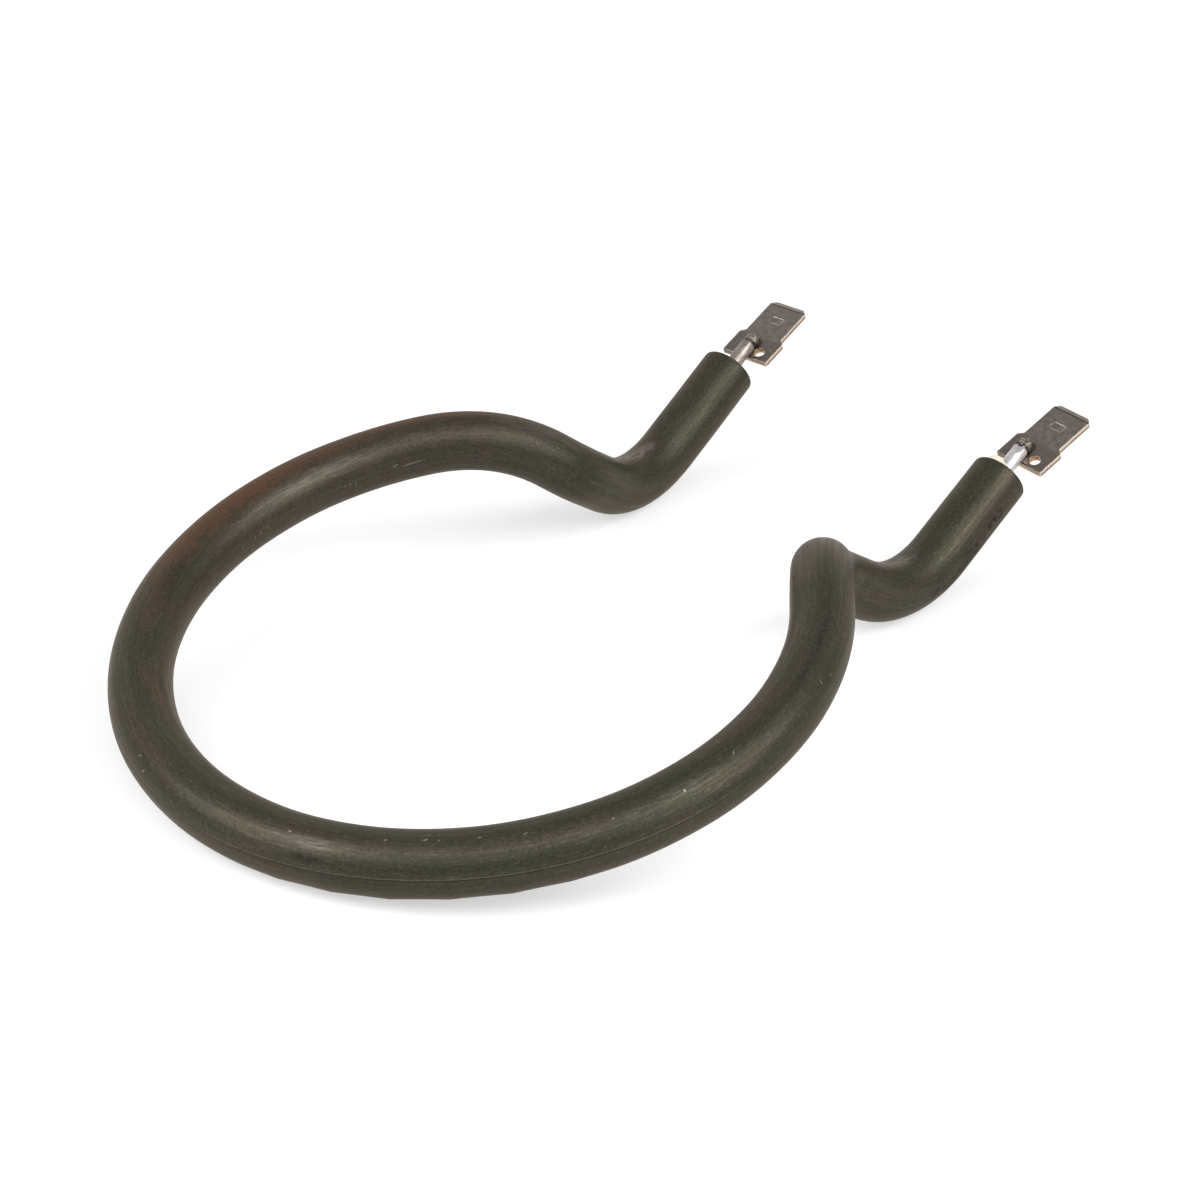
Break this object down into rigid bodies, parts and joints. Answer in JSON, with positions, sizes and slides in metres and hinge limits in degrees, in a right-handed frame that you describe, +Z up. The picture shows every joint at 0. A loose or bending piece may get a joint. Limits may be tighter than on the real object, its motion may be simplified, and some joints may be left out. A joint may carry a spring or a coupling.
{
  "type": "tubular heating element",
  "caption": "Metal-sheathed tubular heating element bent into an open ring, with two raised legs that end in push-on blade terminals.",
  "frame": {"origin": "on the floor under the middle of the element's length, on its plane of symmetry, as it lies at rest", "axes": "+Z up; +Y from the ring towards the terminals; +X across the ring to the right leg"},
  "size_m": [0.092, 0.1388, 0.0218],
  "materials": {
    "oxidised_sheath": "satin, dark oxide",
    "magnesia": "matt compacted powder",
    "resistance_wire": "drawn wire",
    "pin_steel": "dull bright",
    "seal": "matt, cream",
    "tab_plate": "satin, warm grey plating"
  },
  "bodies": {
    "root": {"sheath_tube": "oxidised_sheath", "magnesia_fill": "magnesia", "resistance_coil": "resistance_wire", "left_terminal_pin": "pin_steel", "right_terminal_pin": "pin_steel", "left_end_seal": "seal", "right_end_seal": "seal", "left_blade_tab": "tab_plate", "right_blade_tab": "tab_plate"}
  },
  "joints": []
}
